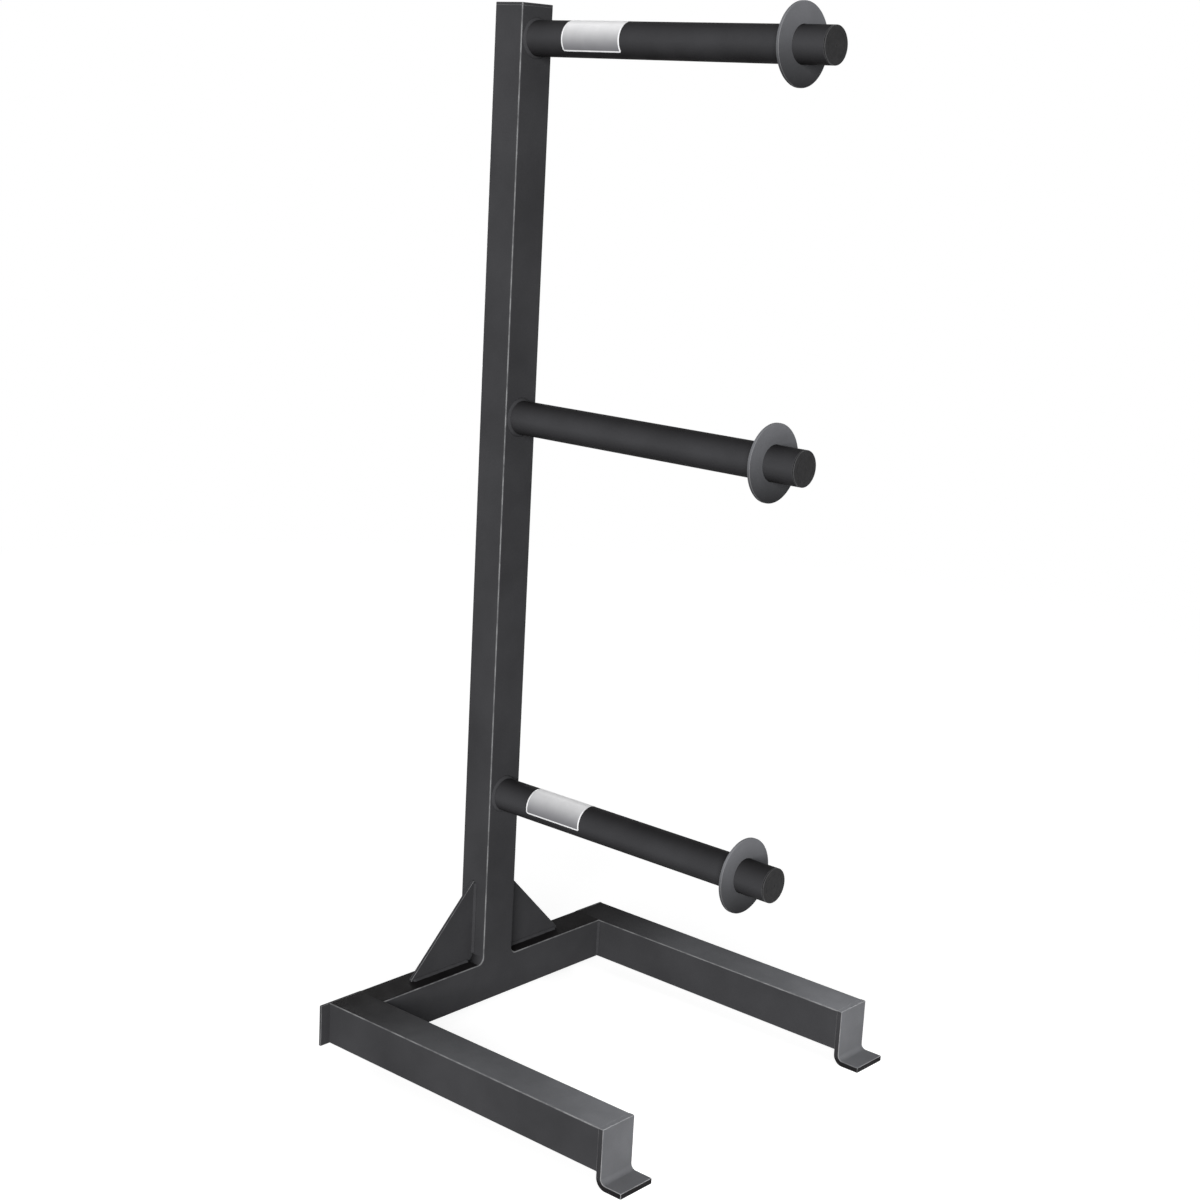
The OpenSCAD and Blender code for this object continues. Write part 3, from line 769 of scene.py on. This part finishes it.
def wrapped_label(centre, inner_r, near_y, far_y, turn):
    """A sheet wrapped on a pipe. At a share u round its arc the angle is turn + u arc, up from the left,
    and the sheet runs between the near and far ends less c - root(c c - (c - e) (c - e)), where e is
    the distance to the arc's nearer end and c the corner's radius. Returns it, and for each point the
    distance to its border and the share u."""
    arc_l = label_arc * inner_r
    at_corner = label_corner_r * (1 - np.cos(np.linspace(0, math.pi / 2, 8)))
    straight = np.linspace(label_corner_r, arc_l - label_corner_r, 60)[1:-1]
    u = np.concatenate([at_corner, straight, (arc_l - at_corner)[::-1]]) / arc_l
    v = np.concatenate([np.linspace(0, label_border_share, 10)[:-1],
                        np.linspace(label_border_share, 1 - label_border_share, 8),
                        np.linspace(1 - label_border_share, 1, 10)[1:]])
    e = np.minimum(u, 1 - u) * arc_l
    short = np.maximum(label_corner_r - e, 0)
    cut = label_corner_r - np.sqrt(np.maximum(label_corner_r ** 2 - short ** 2, 0))
    length = abs(near_y - far_y)
    along = cut[:, None] + v[None] * (length - 2 * cut)[:, None]
    y = near_y + math.copysign(1, far_y - near_y) * along
    angle = (turn + u * label_arc)[:, None] + 0 * y
    to_end = np.minimum(along, length - along)
    to_corner = np.hypot(np.maximum(label_corner_r - to_end, 0), short[:, None])
    border = np.minimum(to_end, e[:, None])
    border = np.where(to_corner > 0, np.minimum(border, label_corner_r - to_corner), border)
    inner, outer = (np.stack([centre[0] - r * np.cos(angle), y, centre[2] + r * np.sin(angle)], -1)
                    for r in (inner_r, inner_r + label_t))
    rings = np.concatenate([outer, inner[:, ::-1]], axis=1)
    border = np.concatenate([border, border[:, ::-1]], axis=1)
    share = np.repeat(u, rings.shape[1])
    return loft(rings, np.zeros(rings.shape[:2])), np.append(border, [0, 0]), np.append(share, [0, 1])


label_vinyl = vinyl("label_vinyl", margin_colour=(0.88, 0.88, 0.89), panel_shaded=(0.15, 0.15, 0.16),
                    panel_lit=(0.96, 0.96, 0.97))
for level, turn in label_turns.items():
    pipe_low, pipe_high = corners_of(f"{level}_arm_tube")
    centre = (pipe_low + pipe_high) / 2
    low, high = corners_of(f"{level}_label")
    inner_r = centre[0] - low[0] - label_t
    shell, border, share = wrapped_label(centre, inner_r, high[1], low[1], turn)
    add_piece(f"{level}_blank_label", [shell], label_vinyl, "frame", "label_vinyl", f"{level}_label",
              margin=border, round_it=share)


# Keepers: round steel plates that stop a reel from sliding off, one near the tip of each arm.
# A short collar is welded to the back of each plate, with room to slide on the arm, and a bead runs
# round the joint. The whole keeper comes off over the arm's tip when its screw is slack.
keeper_clearance = 0.00035
collar_edge_r = 0.001
keeper_edge_r = 0.0009
bore_edge_r = 0.0005
keeper_bead_stations = 440
keeper_coat = powder_coat("keeper_coat", colour=(0.029, 0.029, 0.0305), painted_light_colour=(0.197, 0.2, 0.213),
                          wear_and_highlight_colour=(0.27, 0.27, 0.275), roughness=0.48, peel=0.3, edge_wear_and_highlight=0.7)
for level in levels:
    plate_low, plate_high = corners_of(f"{level}_keeper_plate")
    collar_low, collar_high = corners_of(f"{level}_keeper_collar")
    centre = (plate_low + plate_high) / 2
    plate_r = (plate_high[2] - plate_low[2]) / 2
    collar_r = (collar_high[2] - collar_low[2]) / 2
    keeper_bore_r = arm_r + keeper_clearance
    front_y, joint_y, back_y = plate_low[1], plate_high[1], collar_high[1]
    plate = [(keeper_bore_r, front_y), (plate_r, front_y), (plate_r, joint_y), (keeper_bore_r, joint_y)]
    shell = turned(plate, [bore_edge_r, keeper_edge_r, keeper_edge_r, cut_edge], centre)
    # Painted light: the disc's coat goes paler towards its top.
    add_piece(f"{level}_keeper_disc", [shell], keeper_coat, f"{level}_keeper", "keeper_paint",
              f"{level}_keeper_plate", rubbed=(shell[0][:, 2] - plate_low[2]) / (2 * plate_r))
    collar = [(keeper_bore_r, joint_y), (collar_r, joint_y), (collar_r, back_y), (keeper_bore_r, back_y)]
    shell = turned(collar, [cut_edge, cut_edge, collar_edge_r, bore_edge_r], centre)
    add_piece(f"{level}_keeper_sleeve", [shell], keeper_coat, f"{level}_keeper", "keeper_paint",
              f"{level}_keeper_collar")
    add_piece(f"{level}_keeper_bead", [round_bead(centre, joint_y, collar_r, 1.0, keeper_bead_stations)],
              keeper_coat, f"{level}_keeper", "keeper_paint", f"{level}_keeper_weld")


# Set screws: square-headed, zinc plated, one down through the top of each collar.
# The thread shows between the collar and the head, and the point stands just clear of the pipe until
# the screw is done up into the arm's groove.
screw_r = 0.004
screw_head_h = 0.0065
screw_head_edge_r = 0.0008
shank_in_head = 0.001
thread_pitch = 0.00125
thread_depth = 0.0007
point_share = 0.7
point_l = 0.0025
point_edge = 0.0003
runout_low = 0.0005
runout_high = 0.0004


def zinc_plate(name, colour):
    """Dull bright-zinc plating: grey metal, cloudy in tone and gloss, with fine drawn lines."""
    finish, tree, place = start_finish(name)
    cloud = mottle(tree, place, per_metre=300, low=0.75, high=1.2, detail=4)
    skin = mixed(tree, 1.0, colour, cloud, blend_type="MULTIPLY")
    sheen = mottle(tree, place, per_metre=500, low=0.34, high=0.55, detail=3)
    lines = relief(tree, noise(tree, place, per_metre=1800, stretch=(1, 1, 0.15)), strength=0.3, depth=0.0001)
    end_finish(tree, {"Base Color": skin, "Roughness": sheen, "Metallic": 0.9, "Normal": lines})
    return finish


def threaded_shank(centre, low_z, high_z):
    """A thread: at height z and angle t the radius is R less depth times a triangle wave of
    z / pitch - t / (2 pi), and below it the shank narrows to its plain point."""
    point_top = low_z + point_l
    point_z = [low_z, low_z + point_edge, point_top - runout_low, point_top]
    z = np.concatenate([point_z, np.arange(point_top + runout_high, high_z, thread_pitch / 8), [high_z]])
    t = np.linspace(0, 2 * math.pi, 32, endpoint=False)
    wave = np.abs(2 * ((z[:, None] / thread_pitch - t[None] / (2 * math.pi)) % 1) - 1)
    r = screw_r - thread_depth * wave
    r[:len(point_z)] = point_share * screw_r
    r[0] -= point_edge
    rings = np.stack([centre[0] + r * np.cos(t), centre[1] + r * np.sin(t), z[:, None] + 0 * r], -1)
    return loft(rings, np.zeros(rings.shape[:2]))


screw_zinc = zinc_plate("screw_zinc", (0.42, 0.42, 0.43))
for level in levels:
    low, high = corners_of(f"{level}_set_screw")
    head_z = high[2] - screw_head_h
    head = bar((low[0], low[1], head_z), high, 2, screw_head_edge_r, screw_head_edge_r)
    shank = threaded_shank((low + high) / 2, low[2], head_z + shank_in_head)
    add_piece(f"{level}_square_screw", [shank, head], screw_zinc, f"{level}_screw", "screw_steel",
              f"{level}_set_screw")


# Studio: a plain pale floor and a white surround, lit softly from the front left and from behind.
# The floor holds the rack's shadow near it and fades to the white of the surround further off.
floor_half = 60.0
floor_grey = (0.42, 0.42, 0.42, 1)
floor_lift = 0.82
floor_shade_r = 1.3
floor_white_r = 4.5
surround_light = 0.2
white = (1, 1, 1, 1)

floor_mesh = bpy.data.meshes.new("studio_floor")
floor_corners = [(-floor_half, -floor_half, 0), (floor_half, -floor_half, 0),
                 (floor_half, floor_half, 0), (-floor_half, floor_half, 0)]
floor_mesh.from_pydata(floor_corners, [], [(0, 1, 2, 3)])
studio_floor = bpy.data.objects.new("studio_floor", floor_mesh)
bpy.context.scene.collection.objects.link(studio_floor)
studio_floor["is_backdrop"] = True


def seen_rays(tree):
    """1 for a ray from the camera, off a glossy face or through a clear one, and 0 for one of light."""
    rays = add_node(tree, "LightPath").outputs
    seen = add_node(tree, "Math", {0: rays["Is Camera Ray"], 1: rays["Is Glossy Ray"]}, operation="MAXIMUM")
    seen = add_node(tree, "Math", {0: seen.outputs[0], 1: rays["Is Transmission Ray"]}, operation="MAXIMUM")
    return seen.outputs[0]


floor_paint, tree, place = start_finish("floor_paint")
seen = seen_rays(tree)
matt = add_node(tree, "BsdfDiffuse", {"Color": floor_grey}).outputs["BSDF"]
lift = add_node(tree, "Emission", {"Color": white, "Strength": times(tree, seen, floor_lift)}).outputs[0]
near_floor = add_node(tree, "AddShader", {0: matt, 1: lift}).outputs[0]
far_floor = add_node(tree, "Emission", {"Color": white, "Strength": 1.0}).outputs[0]
distance = add_node(tree, "VectorMath", {0: place}, operation="LENGTH").outputs["Value"]
fade = spread(tree, distance, floor_shade_r, floor_white_r, to_low=0.0, to_high=1.0)
whole_floor = add_node(tree, "MixShader", {0: times(tree, fade, seen), 1: near_floor, 2: far_floor})
add_node(tree, "OutputMaterial", {"Surface": whole_floor.outputs[0]})
floor_mesh.materials.append(floor_paint)

surround = bpy.data.worlds.new("surround")
bpy.context.scene.world = surround
surround.use_nodes = True
tree = surround.node_tree
tree.nodes.clear()
strength = spread(tree, seen_rays(tree), low=0.0, high=1.0, to_low=surround_light, to_high=1.0)
sky = add_node(tree, "Background", {"Color": white, "Strength": strength}).outputs[0]
add_node(tree, "OutputWorld", {"Surface": sky})


def softbox(name, place, aim, width, height, power, spread_angle=math.pi):
    """A soft rectangular lamp at place, turned to face aim."""
    lamp = bpy.data.objects.new(name, bpy.data.lights.new(name, "AREA"))
    lamp.data.shape = "RECTANGLE"
    lamp.data.size, lamp.data.size_y = width, height
    lamp.data.energy = power
    lamp.data.spread = spread_angle
    lamp.location = place
    lamp.rotation_euler = (Vector(aim) - Vector(place)).to_track_quat("-Z", "Y").to_euler()
    bpy.context.scene.collection.objects.link(lamp)


softbox("key_box", (-6.49, -4.38, 2.51), (0.0, 0.0, 0.85), width=3.4, height=3.4, power=730)
softbox("back_box", (3.99, 6.92, 1.15), (0.0, 0.0, 0.85), width=3.0, height=3.0, power=380)
softbox("front_box", (0.08, -1.30, 0.75), (0.0, -0.42, 0.05), width=0.9, height=0.3, power=1.5,
        spread_angle=math.radians(32))

bpy.context.scene.view_settings.view_transform = "Standard"
low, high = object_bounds()
